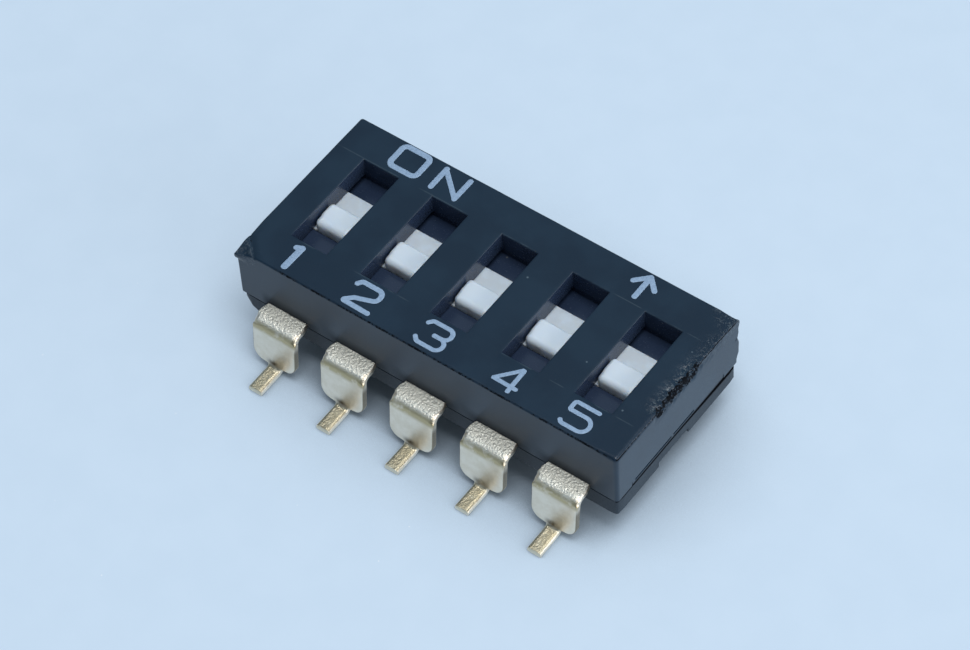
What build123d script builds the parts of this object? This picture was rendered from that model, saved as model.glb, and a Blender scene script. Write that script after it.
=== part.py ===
"""Surface-mount slide switch block: five two-way switches in one low black housing.

The block stands on z = 0 on its gull-wing feet. X runs along the row from switch 1 to the last,
+Y is the ON side, and -Y is the numbered side. All sizes are in millimetres.
"""
from build123d import *
from math import cos, radians, sin
import os

# Row of switches
positions = 5
pitch = 2.54
end_margin = 1.70
travel = 0.85

# Cover
body_width = 6.08
cover_height = 2.03
top_plate = 0.68
side_wall = 0.55
corner_radius = 0.10
top_edge_radius = 0.07
slot_width = 1.30
slot_length = 3.50

# Base
standoff = 1.10
band_height = 0.69
band_inset = 0.03
band_corner = 0.16
block_clearance = 0.03
roof_clearance = 0.04
bevel_run = 0.38
bevel_rise = 0.60
channel_width = 1.50
channel_depth = 0.20
channel_y = -0.19

# Snap fit and locating lip at both ends
latch_width = 1.80
latch_depth = 0.15
latch_height = 0.30
latch_lift = 0.25
latch_clearance = 0.02
lip_length = 4.58
lip_height = 0.14
lip_thickness = 0.28
lip_clearance = 0.03

# Actuators
plate_lap = 0.28
plate_front = 0.90
plate_tuck = 0.03
plate_thick = 0.24
plate_edge = 0.03
nub_clearance = 0.05
nub_length = 1.00
nub_setback = 0.02
nub_below_top = 0.30
nub_corner = 0.15
nub_round = 0.11
peg_length = 0.40
peg_width = 0.14
peg_height = 0.16
guide_clearance = 0.04
end_clearance = 0.02
slide_clearance = 0.02

# Sliding contacts
spring_y = -0.43
spring_width = 0.90
spring_thick = 0.06
spring_flat = 0.24
spring_bend = 0.08
spring_lean = 86
spring_curl = 130
spring_gap = 0.01
peg_clearance = 0.02
well_clearance = 0.04
well_margin = 0.10

# Terminals
lead_thick = 0.20
lead_width = 1.58
stub_width = 1.46
anchor_width = 1.00
flare_depth = 0.25
flare_length = 0.20
knee_reach = 0.60
leg_slant = 0.16
foot_reach = 1.04
foot_width = 0.48
knee_radius = 0.25
heel_radius = 0.22
shoulder_height = 0.24
shoulder_flat = 0.13
foot_fillet = 0.08
notch_clearance = 0.02
front_pad_end = 0.15
pad_gap = 0.35

# Worked out from the sizes above
body_length = (positions - 1) * pitch + 2 * end_margin
parting_z = standoff + band_height
top_z = parting_z + cover_height
roof_z = top_z - top_plate
block_top_z = roof_z - roof_clearance
plate_top_z = roof_z - slide_clearance
plate_under_z = plate_top_z - plate_thick
deck_z = plate_under_z - slide_clearance
nub_top_z = top_z - nub_below_top
lead_top_z = parting_z + lead_thick / 2
plate_width = slot_width + 2 * plate_lap
plate_back = slot_length / 2 + plate_tuck - travel
nub_width = slot_width - 2 * nub_clearance
guide_width = plate_width + 2 * guide_clearance
cavity_length = (positions - 1) * pitch + guide_width
cavity_width = body_width - 2 * side_wall
block_length = cavity_length - 2 * block_clearance
block_width = cavity_width - 2 * block_clearance
band_length = body_length - 2 * band_inset
band_width = body_width - 2 * band_inset
back_pad_end = front_pad_end + pad_gap
well_width = anchor_width + 2 * well_margin
wall_y = body_width / 2
knee_y = wall_y + knee_reach
heel_y = knee_y + leg_slant
tip_y = heel_y + foot_reach
shoulder_round = (lead_width - foot_width) / 2 - shoulder_flat
latch_z = parting_z + latch_lift
window_depth = latch_depth + latch_clearance
window_height = latch_height * window_depth / latch_depth
nub_y = nub_setback - plate_front + nub_length / 2
switch_x = [(n - (positions - 1) / 2) * pitch for n in range(positions)]

# The arms of a sliding contact reach from the actuator's underside down to the fixed contacts.
spring_top_z = plate_under_z - spring_thick / 2
spring_low_z = lead_top_z + spring_gap + spring_thick / 2
bend_drop = spring_bend * (1 - cos(radians(spring_lean)))
spring_arm = (spring_top_z - spring_low_z - 2 * bend_drop) / sin(radians(spring_lean))
spring_foot = spring_flat / 2 + 2 * spring_bend * sin(radians(spring_lean))
spring_foot += spring_arm * cos(radians(spring_lean))
spring_reach = spring_foot + spring_bend + spring_thick / 2
well_front = spring_y - spring_reach - well_clearance
well_back = spring_y + spring_reach + travel + well_clearance

os.makedirs("parts", exist_ok=True)


def terminal(x, side, pad_end):
    """One bent strip: fixed contact, anchor in the base, leg and foot, on the -Y or +Y side."""
    foot_z = lead_thick / 2
    flare_start = wall_y - flare_depth
    flare_stop = flare_start + flare_length
    with BuildPart() as strip:
        # The strip seen from its edge, at its full width
        with BuildSketch(Plane.YZ.offset(x)):
            with BuildLine():
                FilletPolyline(
                    (pad_end, parting_z),
                    (side * knee_y, parting_z),
                    (side * heel_y, foot_z),
                    (side * tip_y, foot_z),
                    radius=(knee_radius, heel_radius),
                )
            trace(line_width=lead_thick)
        extrude(amount=lead_width / 2, both=True)
        # Seen from the front: broad leg with round shoulders, narrow foot
        with BuildSketch(Plane.XZ) as leg_outline:
            with Locations((x, shoulder_height)):
                Rectangle(lead_width, parting_z, align=(Align.CENTER, Align.MIN))
            fillet(leg_outline.vertices().group_by(Axis.Y)[0], radius=shoulder_round)
            with Locations((x, 0)):
                Rectangle(foot_width, 2 * shoulder_height, align=(Align.CENTER, Align.MIN))
            neck = leg_outline.vertices().sort_by_distance((x, shoulder_height))[:2]
            fillet(neck, radius=foot_fillet)
        extrude(amount=tip_y, both=True, mode=Mode.INTERSECT)
        # Seen from above: narrow anchor, flared where it leaves the wall
        with BuildSketch(Plane.XY) as top_outline:
            with BuildLine():
                Polyline(
                    (x - anchor_width / 2, pad_end),
                    (x - anchor_width / 2, side * flare_start),
                    (x - stub_width / 2, side * flare_stop),
                    (x - stub_width / 2, side * wall_y),
                    (x - lead_width / 2, side * (wall_y + flare_length)),
                    (x - lead_width / 2, side * tip_y),
                    (x + lead_width / 2, side * tip_y),
                    (x + lead_width / 2, side * (wall_y + flare_length)),
                    (x + stub_width / 2, side * wall_y),
                    (x + stub_width / 2, side * flare_stop),
                    (x + anchor_width / 2, side * flare_start),
                    (x + anchor_width / 2, pad_end),
                    close=True,
                )
            make_face()
        extrude(amount=top_z, mode=Mode.INTERSECT)
    return strip.part


front_terminals = [terminal(x, -1, front_pad_end) for x in switch_x]
back_terminals = [terminal(x, 1, back_pad_end) for x in switch_x]

# Base: band under the cover, block inside it, and a guide with a contact well for each switch
with BuildPart() as base:
    with BuildSketch(Plane.XY.offset(standoff)):
        Rectangle(band_length, band_width)
    extrude(amount=band_height)
    chamfer(base.edges().filter_by(Axis.Z), length=band_corner)
    with BuildSketch(Plane.XY.offset(parting_z)):
        Rectangle(block_length, block_width)
    extrude(amount=block_top_z - parting_z)
    with BuildSketch(Plane.XY.offset(block_top_z)):
        with Locations((0, (plate_back + travel - plate_front) / 2)):
            with GridLocations(pitch, 0, positions, 1):
                Rectangle(guide_width, plate_front + plate_back + travel + 2 * end_clearance)
    extrude(amount=deck_z - block_top_z, mode=Mode.SUBTRACT)
    with BuildSketch(Plane.XY.offset(deck_z)):
        with Locations((0, (well_front + well_back) / 2)):
            with GridLocations(pitch, 0, positions, 1):
                Rectangle(well_width, well_back - well_front)
    extrude(amount=lead_top_z - deck_z, mode=Mode.SUBTRACT)
    # Lips that fill the notches in the cover's ends
    with BuildSketch(Plane.XY.offset(parting_z)):
        with GridLocations(band_length - lip_thickness, 0, 2, 1):
            Rectangle(lip_thickness, lip_length)
    extrude(amount=lip_height)
    # Snap wedges on both ends of the block
    with BuildSketch(Plane.XZ) as wedge:
        with BuildLine():
            Polyline(
                (block_length / 2, latch_z),
                (block_length / 2 + latch_depth, latch_z),
                (block_length / 2, latch_z + latch_height),
                close=True,
            )
        make_face()
        mirror(about=Plane.YZ)
    extrude(amount=latch_width / 2, both=True)
    # Wash channel along the underside, and the bevel that marks the end of switch 1
    with BuildSketch(Plane.XY.offset(standoff)):
        with Locations((0, channel_y)):
            Rectangle(band_length, channel_width)
    extrude(amount=channel_depth, mode=Mode.SUBTRACT)
    with BuildSketch(Plane.XZ):
        with BuildLine():
            Polyline(
                (-band_length / 2, standoff),
                (-band_length / 2 + bevel_run, standoff),
                (-band_length / 2, standoff + bevel_rise),
                close=True,
            )
        make_face()
    extrude(amount=band_width / 2, both=True, mode=Mode.SUBTRACT)
    # The strips are moulded in
    add(front_terminals + back_terminals, mode=Mode.SUBTRACT)
base.part.label = "base"
export_step(base.part, "parts/base.step")

# Cover: one box, open below, with a slot for each switch
with BuildPart() as cover:
    with BuildSketch(Plane.XY.offset(parting_z)):
        RectangleRounded(body_length, body_width, corner_radius)
    extrude(amount=cover_height)
    fillet(cover.faces().sort_by(Axis.Z)[-1].edges(), radius=top_edge_radius)
    with BuildSketch(Plane.XY.offset(parting_z)):
        Rectangle(cavity_length, cavity_width)
    extrude(amount=roof_z - parting_z, mode=Mode.SUBTRACT)
    with BuildSketch(Plane.XY.offset(roof_z)):
        with GridLocations(pitch, 0, positions, 1):
            Rectangle(slot_width, slot_length)
    extrude(amount=top_plate, mode=Mode.SUBTRACT)
    # Notches over the terminals and over the lips of the base
    with BuildSketch(Plane.XY.offset(parting_z)):
        with GridLocations(pitch, 0, positions, 1):
            Rectangle(stub_width + 2 * notch_clearance, body_width)
    extrude(amount=lead_thick / 2 + notch_clearance, mode=Mode.SUBTRACT)
    with BuildSketch(Plane.XY.offset(parting_z)):
        with GridLocations(body_length - lip_thickness - band_inset - lip_clearance, 0, 2, 1):
            Rectangle(lip_thickness + band_inset + lip_clearance, lip_length + 2 * lip_clearance)
    extrude(amount=lip_height + lip_clearance, mode=Mode.SUBTRACT)
    # Windows inside the ends that catch the snap wedges
    with BuildSketch(Plane.XZ):
        with BuildLine():
            Polyline(
                (block_length / 2, latch_z - latch_clearance),
                (block_length / 2 + window_depth, latch_z - latch_clearance),
                (block_length / 2 + window_depth, latch_z),
                (block_length / 2, latch_z + window_height),
                close=True,
            )
        make_face()
        mirror(about=Plane.YZ)
    extrude(amount=latch_width / 2 + latch_clearance, both=True, mode=Mode.SUBTRACT)
cover.part.label = "cover"
export_step(cover.part, "parts/cover.step")

for number, strip in enumerate(front_terminals, start=1):
    strip.label = f"front_terminal_{number}"
    export_step(strip, f"parts/{strip.label}.step")

for number, strip in enumerate(back_terminals, start=1):
    strip.label = f"back_terminal_{number}"
    export_step(strip, f"parts/{strip.label}.step")

for number, x in enumerate(switch_x, start=1):
    # Actuator: a plate that slides under the cover, with the nub that is pushed and a peg below
    with BuildPart() as actuator:
        with BuildSketch(Plane.XY.offset(plate_under_z)):
            with Locations((x, (plate_back - plate_front) / 2)):
                Rectangle(plate_width, plate_front + plate_back)
        extrude(amount=plate_thick)
        fillet(actuator.faces().sort_by(Axis.Z)[-1].edges(), radius=plate_edge)
        with BuildSketch(Plane.XY.offset(plate_top_z)):
            with Locations((x, nub_y)):
                RectangleRounded(nub_width, nub_length, nub_corner)
        extrude(amount=nub_top_z - plate_top_z)
        fillet(actuator.faces().sort_by(Axis.Z)[-1].edges(), radius=nub_round)
        with BuildSketch(Plane.XY.offset(plate_under_z)):
            with Locations((x, spring_y)):
                SlotOverall(peg_length, peg_width)
        extrude(amount=-peg_height)
    actuator.part.label = f"actuator_{number}"
    export_step(actuator.part, f"parts/actuator_{number}.step")

    # Sliding contact: a strip bent into a bridge, with its two feet turned up like skis
    with BuildPart() as bridge:
        with BuildSketch(Plane.YZ.offset(x)):
            with BuildLine():
                for way in (-1, 1):
                    flat_end = (spring_y + way * spring_flat / 2, spring_top_z)
                    flat = Line((spring_y, spring_top_z), flat_end)
                    bend = JernArc(flat @ 1, flat % 1, spring_bend, -way * spring_lean)
                    arm = PolarLine(bend @ 1, spring_arm, direction=bend % 1)
                    JernArc(arm @ 1, arm % 1, spring_bend, way * spring_curl)
            trace(line_width=spring_thick)
        extrude(amount=spring_width / 2, both=True)
        with BuildSketch(Plane.XY.offset(spring_top_z)):
            with Locations((x, spring_y)):
                SlotOverall(peg_length + 2 * peg_clearance, peg_width + 2 * peg_clearance)
        extrude(amount=spring_thick, both=True, mode=Mode.SUBTRACT)
    bridge.part.label = f"sliding_contact_{number}"
    export_step(bridge.part, f"parts/sliding_contact_{number}.step")
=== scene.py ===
# %% [markdown]
# # A block of five slide switches
# The real part is a low black moulding, 13.56 mm long, with five white slides in slots and a row of bent gold leads
# along each long side. Its shapes come from the CAD model, which is loaded first and stays where it is. Each finished
# piece either dresses a CAD node with a material or stands in for it with a closer shape.

# %% Load the fixed frame
import math
import bmesh
import bpy
import numpy as np
from mathutils import Matrix, Vector, noise


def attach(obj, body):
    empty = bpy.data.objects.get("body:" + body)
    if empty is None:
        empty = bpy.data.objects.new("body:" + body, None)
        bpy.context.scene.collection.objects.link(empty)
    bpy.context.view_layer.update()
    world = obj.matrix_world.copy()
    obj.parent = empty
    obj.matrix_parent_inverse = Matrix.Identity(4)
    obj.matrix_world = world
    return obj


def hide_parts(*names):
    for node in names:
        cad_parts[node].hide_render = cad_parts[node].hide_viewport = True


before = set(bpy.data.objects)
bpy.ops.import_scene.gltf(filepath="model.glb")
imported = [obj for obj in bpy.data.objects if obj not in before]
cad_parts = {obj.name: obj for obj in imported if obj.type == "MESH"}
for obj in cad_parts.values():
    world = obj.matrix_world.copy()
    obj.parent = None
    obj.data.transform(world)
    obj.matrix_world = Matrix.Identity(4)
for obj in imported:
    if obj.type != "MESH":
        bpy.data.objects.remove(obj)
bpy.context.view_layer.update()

# %% [markdown]
# ## Sizes
# The CAD works in millimetres and Blender in metres. The sizes below are the CAD's, and every new mesh is worked out
# in millimetres and turned into metres once, when the mesh is made.

# %% Sizes shared by the pieces
MM = 0.001
PITCH = 2.54
SWITCH_X = [(n - 2) * PITCH for n in range(5)]
HALF_LENGTH, HALF_WIDTH = 6.78, 3.04
PARTING_Z, TOP_Z, ROOF_Z = 1.79, 3.82, 3.14
SLOT_X, SLOT_Y = 0.65, 1.75
INK = 0.004
print("switches stand at x =", SWITCH_X)


# %% [markdown]
# ## Camera
# The photograph looks down at the block from the front right, from about 106 mm away, with a long lens. The angles were
# fitted to points read off the photograph, so the same numbers are set here instead of being guessed by eye.

# %% Camera at the photograph's angle
def camera_frame(azimuth, elevation, roll):
    """The camera's right, up and back directions."""
    az, el, turn = math.radians(azimuth), math.radians(elevation), math.radians(roll)
    back = Vector((math.sin(az) * math.cos(el), -math.cos(az) * math.cos(el), math.sin(el)))
    level = Vector((0, 0, 1)).cross(back).normalized()
    rise = back.cross(level)
    right = level * math.cos(turn) + rise * math.sin(turn)
    return right, back.cross(right), back


right, up, back = camera_frame(39.252, 52.347, -3.912)
eye = (Vector((0.927, -1.2394, TOP_Z)) + back * 106.01) * MM
camera = bpy.data.objects.new("camera", bpy.data.cameras.new("camera"))
bpy.context.scene.collection.objects.link(camera)
camera.matrix_world = Matrix((right, up, back)).transposed().to_4x4()
camera.matrix_world.translation = eye
camera.data.lens = 137.28
camera.data.sensor_width = 36
camera.data.clip_start = 0.005
bpy.context.scene.camera = camera
bpy.context.scene.view_settings.view_transform = "Standard"
print("camera at", [round(c / MM, 2) for c in eye], "mm")

# %% [markdown]
# ## Node helpers
# A procedural material is a small network. Two helpers keep it readable: one makes a node with its settings and
# inputs, and one makes a named group, because an effect that several finishes share is built only once.

# %% Helpers for node trees
def node(tree, kind, inputs=None, **settings):
    """A node with its settings and inputs. An input is a value or another node's output."""
    made = tree.nodes.new(kind)
    for key, value in settings.items():
        setattr(made, key, value)
    for key, value in (inputs or {}).items():
        if isinstance(value, bpy.types.NodeSocket):
            tree.links.new(value, made.inputs[key])
        else:
            made.inputs[key].default_value = value
    return made


def maths(tree, operation, first, second=0.0, clamp=False):
    """The output of one sum on two numbers or outputs."""
    return node(tree, "ShaderNodeMath", {0: first, 1: second}, operation=operation, use_clamp=clamp).outputs[0]


def ramp(tree, value, low, high, out_low=0.0, out_high=1.0):
    """Turns a value between low and high into one between out_low and out_high, smoothly."""
    made = node(tree, "ShaderNodeMapRange", {"Value": value}, interpolation_type="SMOOTHSTEP")
    for key, number in zip(("From Min", "From Max", "To Min", "To Max"), (low, high, out_low, out_high)):
        made.inputs[key].default_value = number
    return made.outputs["Result"]


def mix(tree, factor, first, second):
    """A colour between two colours."""
    made = node(tree, "ShaderNodeMix", data_type="RGBA")
    for key, value in ((0, factor), (6, first), (7, second)):
        if isinstance(value, bpy.types.NodeSocket):
            tree.links.new(value, made.inputs[key])
        else:
            made.inputs[key].default_value = value if key == 0 else (*value, 1)
    return made.outputs[2]


def group(name, kind, sockets):
    """An empty node group with its inputs and outputs: (name, IN or OUT, type, default)."""
    tree = bpy.data.node_groups.new(name, kind)
    for label, way, socket, default in sockets:
        made = tree.interface.new_socket(label, in_out=way + "PUT", socket_type="NodeSocket" + socket)
        if default is not None:
            made.default_value = default
    return tree, tree.nodes.new("NodeGroupInput").outputs, tree.nodes.new("NodeGroupOutput").inputs


def material(name):
    """A material with one Principled shader, its tree, that shader and the object's own coordinates in mm."""
    made = bpy.data.materials.new(name)
    made.use_nodes = True
    tree = made.node_tree
    shader = tree.nodes["Principled BSDF"]
    place = node(tree, "ShaderNodeTexCoord").outputs["Object"]
    scaled = node(tree, "ShaderNodeVectorMath", {0: place, "Scale": 1 / MM}, operation="SCALE").outputs[0]
    return made, tree, shader, scaled


print("helpers ready")

# %% [markdown]
# ## Grain and specks
# Moulded plastic, plating and paper all show the same two things close up: a fine grain that breaks up reflections, and
# a few tiny pale specks of dust or scratches. Image textures could hold them, but noise needs no pictures and has
# detail at any distance. One group gives both as plain values, so each finish picks its own scale and strength.

# %% Group: surface grain and specks
grain_tree, grain_in, grain_out = group("surface grain", "ShaderNodeTree", [
    ("Place", "IN", "Vector", None), ("Fineness", "IN", "Float", 20.0), ("Speck size", "IN", "Float", 3.0),
    ("Speck share", "IN", "Float", 0.02), ("Height", "OUT", "Float", None), ("Cloud", "OUT", "Float", None),
    ("Specks", "OUT", "Float", None)])
fine = node(grain_tree, "ShaderNodeTexNoise", {
    "Vector": grain_in["Place"], "Scale": grain_in["Fineness"], "Detail": 4.0, "Roughness": 0.6})
cloud = node(grain_tree, "ShaderNodeTexNoise", {"Vector": grain_in["Place"], "Scale": 0.7, "Detail": 3.0})
dots = node(grain_tree, "ShaderNodeTexVoronoi", {
    "Vector": grain_in["Place"], "Scale": grain_in["Speck size"], "Randomness": 1.0})
chosen = maths(grain_tree, "LESS_THAN", node(grain_tree, "ShaderNodeSeparateColor", {
    0: dots.outputs["Color"]}).outputs[0], grain_in["Speck share"])
near = ramp(grain_tree, dots.outputs["Distance"], 0.10, 0.03)
grain_tree.links.new(fine.outputs["Fac"], grain_out["Height"])
grain_tree.links.new(cloud.outputs["Fac"], grain_out["Cloud"])
grain_tree.links.new(maths(grain_tree, "MULTIPLY", chosen, near), grain_out["Specks"])
print("grain group has", len(grain_tree.nodes), "nodes")


def grain(tree, place, fineness, speck_size, speck_share):
    """The grain group's outputs, placed in a material with that material's own values."""
    made = node(tree, "ShaderNodeGroup", node_tree=grain_tree)
    tree.links.new(place, made.inputs["Place"])
    for key, value in (("Fineness", fineness), ("Speck size", speck_size), ("Speck share", speck_share)):
        made.inputs[key].default_value = value
    return made.outputs


def bump(tree, shader, height, strength, distance):
    """Feeds a height in mm into the shader's normal."""
    made = node(tree, "ShaderNodeBump", {"Height": height, "Strength": strength, "Distance": distance * MM})
    tree.links.new(made.outputs["Normal"], shader.inputs["Normal"])


# %% [markdown]
# ## Black moulded plastic
# The housing is a satin black moulding. It isn't pure black: from above it looks blue-grey, because even a black
# surface mirrors a little of the pale room. Most of that comes from the shader by itself, so the base colour stays very
# dark and the roughness decides how sharp the reflection is; the base colour's blue tint paints in the rest of that
# reflection. Where the edges are crushed the surface is open and dull, so a second shader with hardly any reflection is
# mixed in there. The same near-black shader is also mixed in as painted shade: in the cracks of the crushed end, in
# broken dark lines along the front and right top edges, in the crease of the front-left dent, in a nick on the
# back-right edge, just above the leads and in the seam under the cover.

# %% Finish: housing plastic
housing_finish, tree, shader, place = material("housing plastic")
parts = grain(tree, place, 26.0, 2.2, 0.05)
dust = grain(tree, place, 40.0, 7.0, 0.10)
worn = node(tree, "ShaderNodeAttribute", attribute_name="worn").outputs["Fac"]
crushed_and_shaded = node(tree, "ShaderNodeAttribute", attribute_name="crushed_and_shaded").outputs["Fac"]
scratch = node(tree, "ShaderNodeTexNoise", {
    "Vector": place, "Scale": 9.0, "Detail": 6.0, "Roughness": 0.75, "Distortion": 0.6}).outputs["Fac"]
chips = node(tree, "ShaderNodeTexNoise", {"Vector": place, "Scale": 15.0, "Detail": 4.0, "Roughness": 0.7}).outputs["Fac"]
torn = maths(tree, "MULTIPLY", worn, ramp(tree, maths(tree, "ADD", scratch, chips), 1.03, 1.15), clamp=True)
grit = node(tree, "ShaderNodeTexNoise", {"Vector": place, "Scale": 17.0, "Detail": 3.0, "Roughness": 0.6}).outputs["Fac"]
# Painted shade: this mask mixes in the near-black shader over the crushed right end and, as painted shade, in its
# cracks, along dark edge lines, in creases and just above the leads.
crush_and_shade_mask = ramp(tree, maths(tree, "ADD", crushed_and_shaded, maths(tree, "MULTIPLY", maths(tree, "ADD", scratch, grit), 1.3)), 1.84, 2.04)
painted_shade = node(tree, "ShaderNodeAttribute", attribute_name="painted_shade").outputs["Fac"]
dull_and_shaded = maths(tree, "MAXIMUM", crush_and_shade_mask, painted_shade)
along = node(tree, "ShaderNodeSeparateXYZ", {0: place}).outputs
off_line = maths(tree, "ABSOLUTE", maths(tree, "SUBTRACT", maths(tree, "ABSOLUTE", along[1]), 1.785))
broken = node(tree, "ShaderNodeTexNoise", {"Vector": place, "Scale": 0.9, "Detail": 3.0}).outputs["Fac"]
witness = maths(tree, "MULTIPLY", ramp(tree, off_line, 0.022, 0.008), ramp(tree, broken, 0.50, 0.60))
witness = maths(tree, "MULTIPLY", witness, ramp(tree, along[2], 3.79, 3.81))
# The blue tint of these near-black colours paints in part of the room's blue reflection.
plain = mix(tree, ramp(tree, parts["Cloud"], 0.35, 0.65), (0.0035, 0.0150, 0.0320), (0.0060, 0.0205, 0.0400))
dusted = mix(tree, maths(tree, "MULTIPLY", dust["Specks"], 0.35), plain, (0.06, 0.09, 0.11))
specked = mix(tree, parts["Specks"], dusted, (0.10, 0.14, 0.17))
lined = mix(tree, maths(tree, "MULTIPLY", witness, 0.35), specked, (0.07, 0.10, 0.12))
scratched = mix(tree, torn, lined, (0.055, 0.08, 0.10))
tree.links.new(scratched, shader.inputs["Base Color"])
shader.inputs["Specular IOR Level"].default_value = 0.43
tree.links.new(ramp(tree, parts["Height"], 0.3, 0.7, 0.28, 0.37), shader.inputs["Roughness"])
crush_and_shade_shader = node(tree, "ShaderNodeBsdfPrincipled", {"Base Color": (0.004, 0.005, 0.007, 1), "Roughness": 0.9,
                                                "Specular IOR Level": 0.08})
covered = node(tree, "ShaderNodeMixShader", {0: dull_and_shaded, 1: shader.outputs[0], 2: crush_and_shade_shader.outputs[0]})
tree.links.new(covered.outputs[0], tree.nodes["Material Output"].inputs["Surface"])
torn_height = maths(tree, "MULTIPLY", maths(tree, "MAXIMUM", torn, crush_and_shade_mask), 2.0)
bump(tree, shader, maths(tree, "ADD", parts["Height"], torn_height), 0.40, 0.010)
print("housing finish:", len(tree.nodes), "nodes")

# %% Finish: base plastic
base_finish, tree, shader, place = material("base plastic")
parts = grain(tree, place, 30.0, 2.6, 0.04)
# Painted shade: a touch darker than the cover's plastic, for the shade on the inset band.
plain = mix(tree, ramp(tree, parts["Cloud"], 0.35, 0.65), (0.0035, 0.0110, 0.0210), (0.0055, 0.0145, 0.0260))
tree.links.new(mix(tree, parts["Specks"], plain, (0.09, 0.12, 0.15)), shader.inputs["Base Color"])
shader.inputs["Specular IOR Level"].default_value = 0.42
tree.links.new(ramp(tree, parts["Height"], 0.3, 0.7, 0.44, 0.58), shader.inputs["Roughness"])
bump(tree, shader, parts["Height"], 0.35, 0.010)
print("base finish:", len(tree.nodes), "nodes")

# %% [markdown]
# ## Glossy plastic inside the slots
# The tool that moulds the slots is polished, so their walls and the guides under them are shinier than the outside.
# They look nearly black, with soft grey mirror images of the white slides.

# %% Finish: slot walls
slot_finish, tree, shader, place = material("slot plastic")
parts = grain(tree, place, 18.0, 2.0, 0.03)
plain = mix(tree, ramp(tree, parts["Cloud"], 0.35, 0.65), (0.0160, 0.0275, 0.0560), (0.0200, 0.0330, 0.0640))
tree.links.new(mix(tree, parts["Specks"], plain, (0.12, 0.13, 0.14)), shader.inputs["Base Color"])
tree.links.new(ramp(tree, parts["Height"], 0.3, 0.7, 0.18, 0.28), shader.inputs["Roughness"])
bump(tree, shader, parts["Height"], 0.2, 0.004)
print("slot finish:", len(tree.nodes), "nodes")

# %% [markdown]
# ## White slides
# The slides are a smooth off-white plastic. A little light passes through it, which softens its edges, so the shader
# gets a small subsurface part, and the colour drifts slightly over the surface as on any moulding. Shade is painted on
# as a warm brown in the middle of the nub's front face and a faint darkening of the plate and peg, where the slot walls
# shade them; it is an attribute painted on the mesh.

# %% Finish: white slides
slide_finish, tree, shader, place = material("slide plastic")
parts = grain(tree, place, 14.0, 3.0, 0.02)
# Painted shade: the nub's front face is darkened to warm brown in its middle, and the plate a little.
slide_shade = node(tree, "ShaderNodeAttribute", attribute_name="slide_shade").outputs["Fac"]
patch = node(tree, "ShaderNodeTexNoise", {"Vector": place, "Scale": 2.2, "Detail": 3.0}).outputs["Fac"]
clean = mix(tree, ramp(tree, parts["Cloud"], 0.3, 0.7), (0.605, 0.678, 0.742), (0.635, 0.706, 0.768))
tree.links.new(mix(tree, maths(tree, "MULTIPLY", slide_shade, ramp(tree, patch, 0.30, 0.55)), clean, (0.36, 0.29, 0.20)),
               shader.inputs["Base Color"])
tree.links.new(ramp(tree, parts["Height"], 0.3, 0.7, 0.36, 0.46), shader.inputs["Roughness"])
shader.inputs["Subsurface Weight"].default_value = 0.7
shader.inputs["Subsurface Scale"].default_value = 0.30 * MM
shader.inputs["Subsurface Radius"].default_value = (1.0, 0.85, 0.7)
bump(tree, shader, parts["Height"], 0.15, 0.008)
print("slide finish:", len(tree.nodes), "nodes")

# %% [markdown]
# ## Gold plating
# The leads are a pale gold flash on bent strip. Where the strip was bent the plating is stretched and goes brown, the
# flat tops are grainy and are painted paler as a painted highlight, the sheared sides are bare and are darkened low
# down as painted shade, and a dark spot is painted at the neck of the foot. Each of those marks is an attribute painted
# on the mesh, because it follows the strip.

# %% Finish: gold leads
lead_finish, tree, shader, place = material("lead plating")
parts = grain(tree, place, 22.0, 5.0, 0.10)
painted_on = {label: node(tree, "ShaderNodeAttribute", attribute_name=label).outputs["Fac"]
              for label in ("sheared", "grain_and_lit_top", "bend", "neck", "low", "foot")}
patch = node(tree, "ShaderNodeTexNoise", {"Vector": place, "Scale": 2.6, "Detail": 5.0, "Roughness": 0.65}).outputs["Fac"]
crystals = node(tree, "ShaderNodeTexVoronoi", {"Vector": place, "Scale": 13.0, "Randomness": 1.0}).outputs["Distance"]
brown = maths(tree, "MULTIPLY", painted_on["bend"], ramp(tree, patch, 0.30, 0.54), clamp=True)
gold = mix(tree, ramp(tree, patch, 0.35, 0.65), (0.77, 0.685, 0.55), (0.84, 0.76, 0.635))
# Painted highlight: the flat tops are mixed towards a pale yellow-white, as faces lit more than the upright ones.
lit_tops = mix(tree, maths(tree, "MULTIPLY", painted_on["grain_and_lit_top"], 0.9), gold, (1.0, 0.99, 0.90))
soldered = mix(tree, maths(tree, "MULTIPLY", painted_on["foot"], 0.85), lit_tops, (0.66, 0.61, 0.46))
tarnished = mix(tree, maths(tree, "MULTIPLY", brown, 0.85), soldered, (0.47, 0.38, 0.20))
dark_neck = mix(tree, maths(tree, "MULTIPLY", painted_on["neck"], ramp(tree, patch, 0.28, 0.52)), tarnished,
                (0.10, 0.075, 0.05))
# Painted shade: the lower part of the sheared sides is darkened to dull brown.
shaded_sides = mix(tree, maths(tree, "MULTIPLY", painted_on["sheared"], painted_on["low"]), dark_neck, (0.26, 0.22, 0.16))
tree.links.new(shaded_sides, shader.inputs["Base Color"])
shader.inputs["Metallic"].default_value = 1.0
satin = ramp(tree, parts["Height"], 0.3, 0.7, 0.30, 0.44)
tree.links.new(maths(tree, "ADD", satin, maths(tree, "MULTIPLY", painted_on["grain_and_lit_top"], 0.28)), shader.inputs["Roughness"])
rough_top = maths(tree, "MULTIPLY", painted_on["grain_and_lit_top"], maths(tree, "ADD", crystals, parts["Height"]))
bump(tree, shader, maths(tree, "ADD", maths(tree, "MULTIPLY", rough_top, 4.5), parts["Height"]), 0.75, 0.012)
print("lead finish:", len(tree.nodes), "nodes")

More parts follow.
